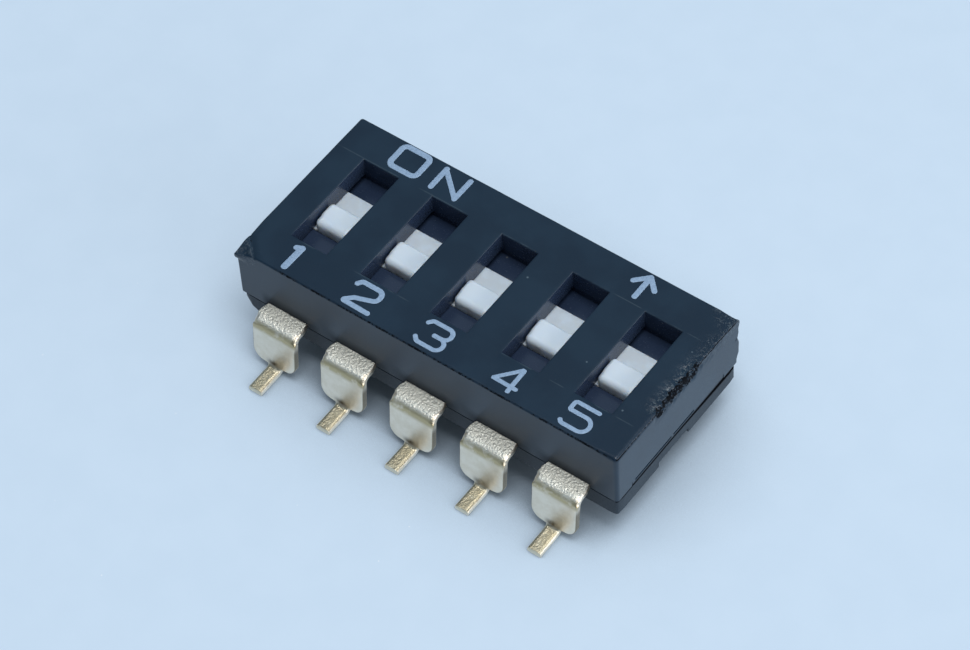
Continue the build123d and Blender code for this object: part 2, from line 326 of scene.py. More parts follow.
# %% Finish: contacts inside
contact_finish, tree, shader, place = material("contact plating")
parts = grain(tree, place, 30.0, 5.0, 0.05)
tree.links.new(mix(tree, ramp(tree, parts["Cloud"], 0.35, 0.65), (0.80, 0.62, 0.30), (0.86, 0.70, 0.38)),
               shader.inputs["Base Color"])
shader.inputs["Metallic"].default_value = 1.0
tree.links.new(ramp(tree, parts["Height"], 0.3, 0.7, 0.22, 0.34), shader.inputs["Roughness"])
bump(tree, shader, parts["Height"], 0.3, 0.004)
print("contact finish:", len(tree.nodes), "nodes")

# %% [markdown]
# ## Printed ink
# The numbers and the ON mark are pad-printed in a pale blue-white ink, slightly uneven where it lies thin.

# %% Finish: ink
ink_finish, tree, shader, place = material("legend ink")
parts = grain(tree, place, 12.0, 6.0, 0.05)
tree.links.new(mix(tree, ramp(tree, parts["Height"], 0.30, 0.62), (0.215, 0.310, 0.440), (0.265, 0.370, 0.510)),
               shader.inputs["Base Color"])
tree.links.new(ramp(tree, parts["Height"], 0.3, 0.7, 0.45, 0.60), shader.inputs["Roughness"])
bump(tree, shader, parts["Height"], 0.3, 0.006)
print("ink finish:", len(tree.nodes), "nodes")


# %% [markdown]
# ## Meshes from points
# Each piece is worked out as lists of points and faces, often with a number painted on every point, such as how worn
# it is. One helper turns them into a Blender object with its finishes.

# %% Helper: a piece from points
def piece(name, points, faces, finishes, which=None, painted=None, smooth=35):
    """An object at the origin from points in mm. which picks a finish for each face."""
    mesh = bpy.data.meshes.new(name)
    mesh.from_pydata((np.asarray(points, float) * MM).tolist(), [], [list(map(int, f)) for f in faces])
    for finish in finishes:
        mesh.materials.append(finish)
    if which is not None:
        mesh.polygons.foreach_set("material_index", np.asarray(which, np.int32))
    for label, values in (painted or {}).items():
        layer = mesh.attributes.new(label, "FLOAT", "POINT")
        layer.data.foreach_set("value", np.asarray(values, np.float32))
    mesh.shade_smooth()
    mesh.set_sharp_from_angle(angle=math.radians(smooth))
    made = bpy.data.objects.new(name, mesh)
    bpy.context.scene.collection.objects.link(made)
    return made


def recalculate(made):
    """Merges doubled points and turns the faces outwards."""
    work = bmesh.new()
    work.from_mesh(made.data)
    bmesh.ops.remove_doubles(work, verts=work.verts, dist=1e-8)
    bmesh.ops.recalc_face_normals(work, faces=work.faces)
    work.to_mesh(made.data)
    work.free()
    return made


def smooth_step(value, low, high):
    """0 below low, 1 above high, and a smooth rise between them."""
    t = np.clip((value - low) / (high - low), 0, 1)
    return t * t * (3 - 2 * t)


def rough_noise(points, scale, seed):
    """Noise between about -1 and 1 at each point in mm, the same on each run."""
    return np.array([noise.noise(Vector(p) * scale + Vector((seed, 0, 0))) for p in points])


# %% [markdown]
# ## A skin on a grid
# The cover is a box with slots and pockets, all square to each other. A boolean modifier could cut them, but it leaves
# long thin faces that can't take wear. Here the space is divided by planes into cells, the cells that hold plastic are
# marked, and the skin between full and empty cells becomes clean four-sided faces, packed close where an edge gets
# rounded or chipped.

# %% Helpers: planes and skin
def planes(marks, zones, widest):
    """Positions with every mark, as close as each zone asks, and never further apart than widest."""
    spots = sorted(marks)
    for low, high, step in zones:
        for spot in np.arange(low, high, step):
            if min(abs(spot - other) for other in spots) > 0.4 * step:
                spots.append(float(spot))
    spots = sorted(spots)
    filled = [spots[0]]
    for spot in spots[1:]:
        parts_needed = max(1, math.ceil((spot - filled[-1]) / widest))
        start = filled[-1]
        filled += [start + (spot - start) * k / parts_needed for k in range(1, parts_needed + 1)]
    return np.array(filled)


def skin(xs, ys, zs, full):
    """Points and outward four-sided faces between the full cells of a grid and the empty ones."""
    solid = np.pad(full, 1).astype(np.int8)
    quads = []
    for axis in range(3):
        step = np.diff(solid, axis=axis)
        trimmed = [slice(1, -1)] * 3
        trimmed[axis] = slice(None)
        cells = np.argwhere(step[tuple(trimmed)] != 0)
        outward = step[tuple(trimmed)][tuple(cells.T)] < 0
        one, two = (axis + 1) % 3, (axis + 2) % 3
        corners = np.repeat(cells[:, None, :], 4, axis=1)
        corners[:, 1:3, one] += 1
        corners[:, 2:4, two] += 1
        corners[~outward] = corners[~outward][:, ::-1]
        quads.append(corners)
    quads = np.concatenate(quads)
    flat = (quads[..., 0] * len(ys) + quads[..., 1]) * len(zs) + quads[..., 2]
    used, faces = np.unique(flat, return_inverse=True)
    points = np.stack([xs[used // (len(ys) * len(zs))], ys[used // len(zs) % len(ys)], zs[used % len(zs)]], -1)
    return points, faces.reshape(-1, 4)


def inside(centres, low, high):
    """Which cell centres lie in a box."""
    return ((centres > np.array(low)) & (centres < np.array(high))).all(-1)


def cell_centres(xs, ys, zs):
    middle = [(a[1:] + a[:-1]) / 2 for a in (xs, ys, zs)]
    return np.stack(np.meshgrid(*middle, indexing="ij"), -1)


# %% [markdown]
# ## Rounding edges
# Every moulded edge has a small radius, and it is what catches the light. A bevel modifier gives one radius everywhere.
# Here each point near an edge is moved onto a quarter circle, so the radius can differ from place to place, as on the
# worn end of this block.

# %% Helper: rounded box edges
def round_box(points, half_x, half_y, centre, top, plan_radius, top_radius):
    """Moves the points near a box's upright and top edges onto arcs. Both radii may differ from point to point."""
    p = points.copy()
    local = p[:, :2] - np.array(centre)
    sign = np.where(local < 0, -1.0, 1.0)
    over = np.abs(local) - (np.array([half_x, half_y]) - plan_radius[:, None])
    corner = (over > 0).all(1)
    reach = np.linalg.norm(over, axis=1)
    scale = np.where(corner, over.max(1) / np.maximum(reach, 1e-9), 1.0)
    over = np.where(corner[:, None], over * scale[:, None], over)
    local = sign * (over + (np.array([half_x, half_y]) - plan_radius[:, None]))
    reach = np.linalg.norm(np.maximum(over, 0), axis=1)
    inset = plan_radius - (reach + np.minimum(over.max(1), 0))
    way = np.where(corner[:, None], over / np.maximum(reach, 1e-9)[:, None],
                   np.where((over[:, :1] > over[:, 1:]), [[1.0, 0.0]], [[0.0, 1.0]])) * sign
    drop = top - p[:, 2]
    a, b = top_radius - inset, top_radius - drop
    near_edge = (a > 0) & (b > 0) & (inset > -1e-6) & (drop > -1e-6)
    size = np.maximum(a, b) / np.maximum(np.hypot(a, b), 1e-9)
    new_inset = np.where(near_edge, top_radius - a * size, inset)
    p[:, :2] = local + np.array(centre) - way * (new_inset - inset)[:, None]
    p[:, 2] = np.where(near_edge, top - (top_radius - b * size), p[:, 2])
    return p


def round_slot(points, half_x, half_y, centre, top, radius):
    """Moves the points round the rim of a slot onto an arc that falls into the slot."""
    p = points.copy()
    local = p[:, :2] - np.array(centre)
    sign = np.where(local < 0, -1.0, 1.0)
    over = np.maximum(np.abs(local) - np.array([half_x, half_y]), 0)
    away = np.linalg.norm(over, axis=1)
    drop = top - p[:, 2]
    rim = (away < radius) & (drop < radius) & (drop > -1e-6)
    rim &= (np.abs(local) > np.array([half_x, half_y]) - 1e-6).any(1)
    on_wall = away < 1e-6
    edge = np.abs(np.abs(local) - np.array([half_x, half_y])) < 1e-6
    way = np.where(on_wall[:, None], edge.astype(float), over)
    way = sign * way / np.maximum(np.linalg.norm(way, axis=1), 1e-9)[:, None]
    a, b = radius - away, radius - drop
    size = np.maximum(a, b) / np.maximum(np.hypot(a, b), 1e-9)
    p[:, :2] += np.where(rim[:, None], way * ((radius - a * size) - away)[:, None], 0)
    p[:, 2] = np.where(rim, top - (radius - b * size), p[:, 2])
    return p


# %% [markdown]
# ## Cover
# The cover is one moulding, open below, with a slot for each slide, notches over the leads and a pocket at each end.
# Its top is set down by the thickness of the ink, so the legends end level with the CAD's top.

# %% Cover: cells
EDGE = (0.0, 0.012, 0.026, 0.042, 0.060, 0.082, 0.110, 0.150, 0.200, 0.270, 0.360)
RIM = (0.0, 0.008, 0.018, 0.030)
COVER_TOP = TOP_Z - INK
x_marks = [way * (HALF_LENGTH - e) for way in (-1, 1) for e in EDGE]
x_marks += [x + way * (SLOT_X + r) for x in SWITCH_X for way in (-1, 1) for r in RIM]
x_marks += [x + way * 0.75 for x in SWITCH_X for way in (-1, 1)] + [-6.44, -6.19, -6.05, 6.05, 6.19, 6.44]
y_marks = [way * (HALF_WIDTH - e) for way in (-1, 1) for e in EDGE]
y_marks += [way * (SLOT_Y + r) for way in (-1, 1) for r in RIM] + [way * y for way in (-1, 1) for y in (0.92, 2.32, 2.49)]
z_marks = [COVER_TOP - e for e in EDGE + (0.02,)] + [PARTING_Z, 1.91, 1.96, 2.02, 2.04, 2.20, 2.38, ROOF_Z]
x_planes = planes(x_marks, [(-6.78, -6.0, 0.06), (6.4, 6.78, 0.05)], 0.6)
y_planes = planes(y_marks, [(-3.04, -2.3, 0.06), (2.2, 3.04, 0.06), (-1.3, 2.3, 0.06)], 0.6)
z_planes = planes(z_marks, [(3.2, COVER_TOP, 0.06)], 0.3)
centres = cell_centres(x_planes, y_planes, z_planes)
full = np.ones(centres.shape[:3], bool)
full &= ~inside(centres, (-6.05, -2.49, 0), (6.05, 2.49, ROOF_Z))
for x in SWITCH_X:
    full &= ~inside(centres, (x - SLOT_X, -SLOT_Y, 0), (x + SLOT_X, SLOT_Y, 9))
    full &= ~inside(centres, (x - 0.75, -9, 0), (x + 0.75, 9, 1.91))
for low, high in ((-9, -6.44), (6.44, 9)):
    full &= ~inside(centres, (low, -2.32, 0), (high, 2.32, 1.96))
for low, high in ((-6.19, -6.0), (6.0, 6.19)):
    full &= ~inside(centres, (low, -0.92, 2.02), (high, 0.92, 2.38))
cover_points, cover_faces = skin(x_planes, y_planes, z_planes, full)
print("cover:", len(cover_points), "points,", len(cover_faces), "faces")

# %% Cover: rounded and worn edges, with painted shade
raw = cover_points.copy()
wobble = rough_noise(raw, 1.3, 4.0)
at_right = smooth_step(raw[:, 0], 5.9, 6.5)
late = smooth_step(raw[:, 1], -1.2, -0.9) * at_right
back_right = smooth_step(raw[:, 0] + raw[:, 1], 8.7, 9.5)
front_left = smooth_step(-raw[:, 0] - raw[:, 1], 9.2, 9.7)
plan_radius = 0.10 - 0.03 * back_right - 0.085 * front_left
top_radius = 0.07 + 0.012 * wobble + 0.05 * at_right - 0.06 * late - 0.01 * back_right - 0.05 * front_left
plan_radius = np.maximum(plan_radius, top_radius + 0.002)
cover_points = round_box(cover_points, HALF_LENGTH, HALF_WIDTH, (0, 0), COVER_TOP, plan_radius, top_radius)
for x in SWITCH_X:
    cover_points = round_slot(cover_points, SLOT_X, SLOT_Y, (x, 0), COVER_TOP, 0.030)
beyond = ((-6.70 - raw[:, 0]) + (-2.45 - raw[:, 1])) / math.sqrt(2)
height = smooth_step(raw[:, 2], 3.0, 3.75)
to_front = smooth_step(-raw[:, 1], 2.55, 3.0)
sunk = 0.02 + 0.12 * smooth_step(beyond, -0.02, 0.30) * to_front + 0.05 * np.exp(-((beyond / 0.045) ** 2))
sunk *= beyond > -0.15
cover_points[:, 2] -= sunk * height
pushed_out = smooth_step(beyond, 0.15, 0.47) * smooth_step(raw[:, 2], 3.35, 3.75)
cover_points[:, 1] -= 0.13 * pushed_out
chip_noise = rough_noise(raw, 7.0, 1.0) + 0.6 * rough_noise(raw, 16.0, 2.0)
zone = smooth_step(raw[:, 1], -1.25, -0.95) * (1 - smooth_step(raw[:, 1], 0.9, 1.5))
zone = np.maximum(zone, 0.35 * smooth_step(raw[:, 1], 0.9, 1.3) * (1 - smooth_step(raw[:, 1], 2.0, 2.3)))
off_edge = np.hypot(np.maximum(6.70 - raw[:, 0], 0), np.maximum(COVER_TOP - 0.08 - raw[:, 2], 0))
chipped = zone * (1 - smooth_step(off_edge, 0.05, 0.42)) * smooth_step(raw[:, 0], 6.2, 6.5)
bite = chipped * (0.035 + 0.075 * np.clip(chip_noise, -0.46, 1))
cover_points[:, 0] -= bite
cover_points[:, 2] -= bite * 0.45
at_back_edge = smooth_step(raw[:, 0] + raw[:, 1], 9.45, 9.75) * smooth_step(raw[:, 2], 1.9, 2.2)
flared = 0.5 * (1 + np.clip(rough_noise(raw * (0, 0, 1), 2.3, 9.0) * 2.2, -1, 1))
nick = np.exp(-((raw[:, 2] - 2.92) / 0.09) ** 2)
cover_points[:, 1] += 0.14 * at_back_edge * (0.45 + 0.55 * flared) * (1 - nick) * (1 - smooth_step(raw[:, 2], 3.55, 3.8))
cover_points[:, 2] -= 0.05 * smooth_step(raw[:, 0] + raw[:, 1], 9.15, 9.6) * smooth_step(raw[:, 2], 3.4, 3.8)
worn = np.clip(chipped * (0.6 + 0.4 * (raw[:, 2] > 3.77)) + 0.9 * back_right * (raw[:, 2] > 3.4) + 0.5 * (beyond > 0) * height, 0, 1)
# Painted shade, partly over real damage: the crushed right end is painted near-black in its cracks, and broken dark
# lines are painted along the right and front top edges, in the crease of the front-left dent and in the nick on the
# back-right edge.
end_face = smooth_step(raw[:, 0], 6.70, 6.77)
below_edge = COVER_TOP - raw[:, 2]
ragged = np.clip(rough_noise(raw, 3.1, 6.0) + 0.7 * rough_noise(raw, 8.0, 7.0), -0.6, 0.8)
crushed_and_shaded = zone * smooth_step(raw[:, 0], 6.62, 6.72) * (1 - smooth_step(below_edge, 0.20, 0.50)) * (0.72 + 0.6 * ragged)
right_edge_shade = end_face * (below_edge > 0.005) * (below_edge < 0.07)
broken_up = 0.74 + 0.40 * rough_noise(raw * (0, 1, 0), 1.9, 15.0)
crushed_and_shaded = np.maximum(crushed_and_shaded, right_edge_shade * (broken_up + (0.75 - broken_up) * smooth_step(raw[:, 1], -1.3, -0.9)))
on_top = smooth_step(raw[:, 2], 3.77, 3.81)
crushed_and_shaded = np.maximum(crushed_and_shaded, 0.62 * np.exp(-((beyond - 0.01) / 0.045) ** 2) * on_top * (1 - 0.8 * to_front))
front_edge_shade = (raw[:, 1] < -3.0) & (below_edge < 0.07) & (beyond < -0.35)
crushed_and_shaded = np.maximum(crushed_and_shaded, front_edge_shade * (0.64 + 0.45 * rough_noise(raw * (1, 0, 0), 1.7, 12.0)))
crushed_and_shaded = np.maximum(crushed_and_shaded, 0.8 * at_back_edge * nick)
# Painted shade: the faces just above each lead are darkened where the lead leaves the wall.
to_lead = np.abs(raw[:, :1] - np.array(SWITCH_X)).min(1)
above_leads = (1 - smooth_step(to_lead, 0.70, 1.00)) * (1 - smooth_step(raw[:, 2], 1.93, 2.40))
painted_shade = 0.65 * above_leads * (np.abs(raw[:, 1]) > 2.9)
middle = raw[cover_faces].mean(1)
slot_side = (np.abs(middle[:, 1]) < SLOT_Y + 0.004) & (middle[:, 2] < COVER_TOP - 0.02) & (np.abs(middle[:, 0]) < 6.05)
cover_shell = piece("cover_shell", cover_points, cover_faces, [housing_finish, slot_finish],
                    which=slot_side.astype(int), painted={"worn": worn, "crushed_and_shaded": crushed_and_shaded, "painted_shade": painted_shade})
print("cover box in mm:", cover_points.min(0).round(3), cover_points.max(0).round(3))

# %% [markdown]
# ## Base
# The base is the moulding under the cover: a band that shows below the parting line, a block inside, and a guide with a
# contact well for each slide. On the real one a fine dark gap runs round between base and cover. The same grid makes
# it, with the band's upper rim set back so that the gap has real depth; at the right end the gap's inner wall is
# painted near-black as painted shade. At the right end the gap widens towards the back.

# %% Base: cells
SEAM_LOW, SEAM_DEEP, WELL_FLOOR, DECK, LIP_X = 1.70, 0.07, 1.875, 2.86, 6.775
bx = [way * v for way in (-1, 1) for v in (LIP_X, 6.75, 6.73, 6.70, 6.75 - SEAM_DEEP, 6.47, 6.17, 6.02)]
bx += [x + way * w for x in SWITCH_X for way in (-1, 1) for w in (0.60, 0.97)]
by = [way * v for way in (-1, 1) for v in (3.01, 2.99, 2.96, 3.01 - SEAM_DEEP, 2.46, 2.29, 0.90)]
by += [-0.94, 0.56, -0.79, 1.80, -1.24, 1.43, -0.34, -0.24, 0.80, 0.85, -2.15, 2.15]
bz = [1.10, 1.12, 1.15, 1.30, 1.50, SEAM_LOW - 0.050, SEAM_LOW - 0.045, SEAM_LOW, PARTING_Z, WELL_FLOOR, 1.91, 1.958, 2.04, 2.14, 2.24,
      2.34, 2.80, DECK, 3.10]
bx, by, bz = planes(bx, [], 0.35), planes(by, [], 0.35), planes(bz, [], 0.3)
centres = cell_centres(bx, by, bz)
full = inside(centres, (-6.75, -9, 0), (6.75, 9, SEAM_LOW))
full |= inside(centres, (-6.75 + SEAM_DEEP, -3.01 + SEAM_DEEP, 0), (6.75 - SEAM_DEEP, 3.01 - SEAM_DEEP, PARTING_Z))
full |= inside(centres, (-6.02, -2.46, 0), (6.02, 2.46, 3.10))
for x in SWITCH_X:
    full &= ~inside(centres, (x - 0.97, -0.79, DECK), (x + 0.97, 1.80, 9))
    full &= ~inside(centres, (x - 0.60, -1.24, WELL_FLOOR), (x + 0.60, 1.43, DECK))
    full |= inside(centres, (x - 0.60, 0.85, 2.80), (x + 0.60, 1.43, DECK))
for low, high in ((-LIP_X, -6.47), (6.47, LIP_X)):
    full |= inside(centres, (low, -2.29, PARTING_Z - 0.01), (high, 2.29, WELL_FLOOR))
    for start, end in ((-2.29, -2.15), (-0.34, -0.24), (0.80, 2.29)):
        full |= inside(centres, (low, start, WELL_FLOOR - 0.01), (high, end, 1.958))
for low, high in ((-6.17, -6.02), (6.02, 6.17)):
    full |= inside(centres, (low, -0.90, 2.04), (high, 0.90, 2.34))
full &= ~inside(centres, (-9, -0.94, 0), (9, 0.56, 1.30))
points, faces = skin(bx, by, bz, full)
wedge = (np.abs(points[:, 0]) > 6.03) & (points[:, 2] > 2.03) & (points[:, 2] < 2.35) & (np.abs(points[:, 1]) < 0.91)
lean_in = 6.02 + (np.abs(points[:, 0]) - 6.02) * (1 - (points[:, 2] - 2.04) / 0.30 * 0.98)
points[:, 0] = np.where(wedge, np.sign(points[:, 0]) * lean_in, points[:, 0])
sloping = smooth_step(points[:, 1], -0.5, 2.6) * (points[:, 0] > 6.5)
points[:, 2] -= np.where((points[:, 2] > 1.64) & (points[:, 2] < SEAM_LOW + 0.001), 0.10 * sloping, 0)
low_part = points[:, 2] < PARTING_Z + 0.001
rounded = round_box(points, 6.75, 3.01, (0, 0), 99.0, np.full(len(points), 0.16), np.full(len(points), 0.01))
points = np.where(low_part[:, None], rounded, points)
bevel_floor = 1.10 + (-6.37 - points[:, 0]) * 0.60 / 0.38
points[:, 2] = np.where(points[:, 0] < -6.37, np.maximum(points[:, 2], np.minimum(bevel_floor, 1.70)), points[:, 2])
# Painted shade: the recessed wall of the seam gap at the right end takes the near-black shader, so the gap shows as a
# dark line.
at_end = (points[:, 0] > 6.60) & (points[:, 2] < PARTING_Z + 0.001)
black = 1.0 * (at_end & (points[:, 2] > SEAM_LOW - 0.046 - 0.10 * sloping))
middle = points[faces].mean(1)
seen_in_slots = (np.abs(middle[:, 1]) < 1.9) & (middle[:, 2] > 2.4)
on_lip = (np.abs(middle[:, 0]) > 6.6) & (middle[:, 2] > PARTING_Z)
at_groove = black[faces].min(1) > 0.5
base_block = piece("base_block", points, faces, [base_finish, slot_finish, housing_finish],
                   which=np.where(on_lip | at_groove, 2, seen_in_slots), painted={"painted_shade": black})
recalculate(base_block)
print("base:", len(points), "points, box", points.min(0).round(3), points.max(0).round(3))

# %% [markdown]
# ## Leads
# Each lead is one strip. It runs out of the base, bends down, and bends out again into a narrow foot. The mesh is made
# as a press would make it: the centre line is stepped along, and at each step a thin cross section with the blank's
# width at that place is set square to the line. That keeps the thickness the same round the bends.

# %% Leads: centre line and width
STRIP, ARC_KNEE, ARC_HEEL = 0.20, 0.25, 0.22
KNEE, HEEL, TIP = (3.64, PARTING_Z), (3.80, 0.10), (4.84, 0.10)


def bent_line(start, step):
    """Points, directions and how bent the strip is, along the centre line from start to the tip."""
    lean = math.atan2(KNEE[1] - HEEL[1], HEEL[0] - KNEE[0])
    cut_knee, cut_heel = ARC_KNEE * math.tan(lean / 2), ARC_HEEL * math.tan(lean / 2)
    fall = np.array([math.cos(lean), -math.sin(lean)])
    leg = math.dist(KNEE, HEEL) - cut_knee - cut_heel
    pieces = [("flat", KNEE[0] - cut_knee - start), ("down", ARC_KNEE * lean), ("leg", leg),
              ("up", ARC_HEEL * lean), ("foot", TIP[0] - HEEL[0] - cut_heel)]
    rows, place, angle = [], np.array([start, PARTING_Z]), 0.0
    for kind, length in pieces:
        count = max(2, math.ceil(length / step))
        turn = {"down": -lean, "up": lean}.get(kind, 0.0) / count
        for k in range(count):
            rows.append((*place, angle, kind in ("down", "up")))
            place = place + length / count * np.array([math.cos(angle + turn / 2), math.sin(angle + turn / 2)])
            angle += turn
    rows.append((*place, angle, False))
    return np.array(rows, float)


def blank_width(u, z):
    """Half the strip's width: narrow anchor, flare at the wall, broad leg with round shoulders, narrow foot."""
    half = np.interp(u, (2.79, 2.99, 3.04, 3.24), (0.50, 0.73, 0.73, 0.79))
    rise = np.clip(z - 0.24, 0, 0.42)
    shoulder = 0.79 - 0.42 + np.sqrt(np.maximum(0.42 ** 2 - (0.42 - rise) ** 2, 0))
    fall = np.clip(0.24 - z, 0, 0.08)
    neck = 0.24 + 0.08 - np.sqrt(np.maximum(0.08 ** 2 - (0.08 - fall) ** 2, 0))
    return np.where(u < 3.3, half, np.where(z > 0.24, np.minimum(half, shoulder), neck))


line = bent_line(0.50, 0.03)
print("lead:", len(line), "steps, widths", blank_width(line[:, 0], line[:, 1]).min(), "to", 2 * 0.79)

# %% Leads: one strip as a mesh
EDGE_ROUND = 0.035
ACROSS = np.linspace(-1, 1, 9)
CORNER = np.radians([0, 30, 60, 90])


def strip_mesh(start):
    """Points and faces of one strip, with its sheared sides and bends painted on."""
    rows = bent_line(start, 0.03)
    half = blank_width(rows[:, 0], rows[:, 1])
    ring = []
    for side in (1, -1):
        ring += [(side * a, 0.0, side, 0.0) for a in ACROSS]
        ring += [(side, t, side, 1.0) for t in CORNER[1:]] + [(side, t, -side, 1.0) for t in CORNER[:0:-1]]
    points, painted = [], {"sheared": [], "grain_and_lit_top": [], "bend": [], "neck": [], "low": [], "foot": []}
    for (u, z, angle, _), wide in zip(rows, half):
        normal = (-math.sin(angle), math.cos(angle))
        knee = float(smooth_step(-math.sin(angle), 0.05, 0.30) * (1 - smooth_step(-math.sin(angle), 0.90, 0.985)) * (z > 1))
        outer_roll = EDGE_ROUND + 0.115 * knee + 0.055 * float(1 - smooth_step(z, 0.12, 0.22))
        lying = float(smooth_step(math.cos(angle), 0.55, 0.85))
        bending = float(smooth_step(-math.sin(angle), 0.55, 0.90) * smooth_step(z, 1.40, 1.58))
        for across, turned, face, side in ring:
            roll = outer_roll if face > 0 else EDGE_ROUND
            x = across * (wide - roll) + across * roll * math.sin(turned) * (abs(across) == 1)
            up_by = face * (0.5 * STRIP - roll * (1 - math.cos(turned)))
            points.append((x, min(u + normal[0] * up_by, TIP[0]), max(z + normal[1] * up_by, 0.0)))
            outer = float(up_by > 0.3 * STRIP)
            # These paint the grain and painted highlight on the flat tops, and the painted shade on the lower sheared
            # sides.
            painted["sheared"].append(side * (1 - knee))
            painted["low"].append(float(1 - smooth_step(z, 1.20, 1.60)) * float(smooth_step(z, 0.15, 0.35)))
            painted["grain_and_lit_top"].append(lying * outer * (1 - side) * (1.0 if z > 1 else 0.18))
            painted["foot"].append(float(1 - smooth_step(z, 0.12, 0.26)) * outer)
            painted["bend"].append(max(bending, 0.45 * float(1 - smooth_step(z, 0.12, 0.24))) * outer)
            painted["neck"].append(math.exp(-(((z - 0.34) / 0.13) ** 2 + ((x - 0.06) / 0.17) ** 2)) * outer)
    count, size = len(rows), len(ring)
    faces = [(i * size + j, i * size + (j + 1) % size, (i + 1) * size + (j + 1) % size, (i + 1) * size + j)
             for i in range(count - 1) for j in range(size)]
    faces += [tuple(range(size))[::-1], tuple((count - 1) * size + j for j in range(size))]
    return points, faces, painted


points, faces, painted = strip_mesh(0.50)
print("one strip:", len(points), "points,", len(faces), "faces")

# %% [markdown]
# The strips repeat at the pitch of the switches. Geometry Nodes place them: a line of points at the pitch, the strip
# on each point, and a small sideways splay that differs from lead to lead and grows away from the wall, because no two
# bent leads are quite alike. The instances are made real at the end, since an export drops instances.

# %% Leads: the row as a node tree
row_tree, row_in, row_out = group("row of leads", "GeometryNodeTree", [
    ("Strip", "IN", "Geometry", None), ("Count", "IN", "Int", 5), ("Pitch", "IN", "Float", PITCH * MM),
    ("Splay", "IN", "Float", 0.012), ("Seed", "IN", "Int", 7), ("Leads", "OUT", "Geometry", None)])
count_less = maths(row_tree, "SUBTRACT", row_in["Count"], 1.0)
first = maths(row_tree, "MULTIPLY", maths(row_tree, "MULTIPLY", count_less, row_in["Pitch"]), -0.5)
stations = node(row_tree, "GeometryNodeMeshLine", {
    "Count": row_in["Count"],
    "Start Location": node(row_tree, "ShaderNodeCombineXYZ", {"X": first}).outputs[0],
    "Offset": node(row_tree, "ShaderNodeCombineXYZ", {"X": row_in["Pitch"]}).outputs[0]})
placed = node(row_tree, "GeometryNodeInstanceOnPoints", {
    "Points": stations.outputs[0], "Instance": row_in["Strip"]})
chance = node(row_tree, "FunctionNodeRandomValue", {2: -1.0, 3: 1.0, "Seed": row_in["Seed"]})
kept = node(row_tree, "GeometryNodeStoreNamedAttribute", {
    "Geometry": placed.outputs[0], "Name": "lean", "Value": chance.outputs[1]}, domain="INSTANCE")
real = node(row_tree, "GeometryNodeRealizeInstances", {"Geometry": kept.outputs[0]})
lean = node(row_tree, "GeometryNodeInputNamedAttribute", {"Name": "lean"}).outputs[0]
where = node(row_tree, "GeometryNodeInputPosition").outputs[0]
from_middle = maths(row_tree, "ABSOLUTE", node(row_tree, "ShaderNodeSeparateXYZ", {0: where}).outputs[1])
past_wall = maths(row_tree, "MAXIMUM", maths(row_tree, "SUBTRACT", from_middle, 3.1 * MM), 0.0)
shift = maths(row_tree, "MULTIPLY", maths(row_tree, "MULTIPLY", past_wall, lean), row_in["Splay"])
splayed = node(row_tree, "GeometryNodeSetPosition", {
    "Geometry": real.outputs[0], "Offset": node(row_tree, "ShaderNodeCombineXYZ", {"X": shift}).outputs[0]})
finished = node(row_tree, "GeometryNodeSetMaterial", {"Geometry": splayed.outputs[0], "Material": lead_finish})
row_tree.links.new(finished.outputs[0], row_out["Leads"])
print("row tree has", len(row_tree.nodes), "nodes")


# %% Leads: both rows
def run_tree(holder, tree, values):
    """Runs a Geometry Nodes tree on an object and keeps the result as the object's plain mesh."""
    modifier = holder.modifiers.new(tree.name, "NODES")
    modifier.node_group = tree
    for item in tree.interface.items_tree:
        if item.item_type == "SOCKET" and item.in_out == "INPUT" and item.name in values:
            modifier[item.identifier] = values[item.name]
    seen = holder.evaluated_get(bpy.context.evaluated_depsgraph_get())
    mesh = bpy.data.meshes.new_from_object(seen)
    holder.modifiers.remove(modifier)
    holder.data = mesh
    return holder


leads = {}
for side, way, start, seed in (("front", -1, -0.15, 7), ("back", 1, 0.50, 11)):
    points, faces, painted = strip_mesh(start)
    strip = piece(f"{side}_leads", np.array(points) * (-way * -1, way, 1), faces, [lead_finish], painted=painted)
    recalculate(strip)
    leads[side] = run_tree(strip, row_tree, {"Splay": 0.012, "Seed": seed})
    print(side, "leads:", len(leads[side].data.polygons), "faces")


# %% [markdown]
# ## Slides
# Each slide is a plate that runs under the cover, with a raised nub for a fingertip and a small peg below. Only the nub
# and part of the plate show. The nub's upright corners are clearly round, so it gets the same arc treatment as the
# cover, with bigger radii.

# %% Slides
def block(low, high, steps, plan_radius, top_radius, front_extra=0.0):
    """Points and faces of a box whose upright and top edges are rounded, the front edge by more if asked."""
    low, high = np.array(low, float), np.array(high, float)
    marks = [sorted({round(v, 5) for e in steps for v in (low[a] + e, high[a] - e)}) for a in range(2)]
    marks.append(sorted({low[2], *(round(high[2] - e, 5) for e in steps)}))
    xs, ys, zs = (planes(m, [], 0.12) for m in marks)
    points, faces = skin(xs, ys, zs, np.ones((len(xs) - 1, len(ys) - 1, len(zs) - 1), bool))
    half = (high - low) / 2
    centre = (low + high)[:2] / 2
    softer = front_extra * (1 - smooth_step(points[:, 1] - low[1], 0.24, 0.42))
    radii = plan_radius + 0.3 * softer, top_radius + softer
    return round_box(points, half[0], half[1], centre, high[2], *radii), faces


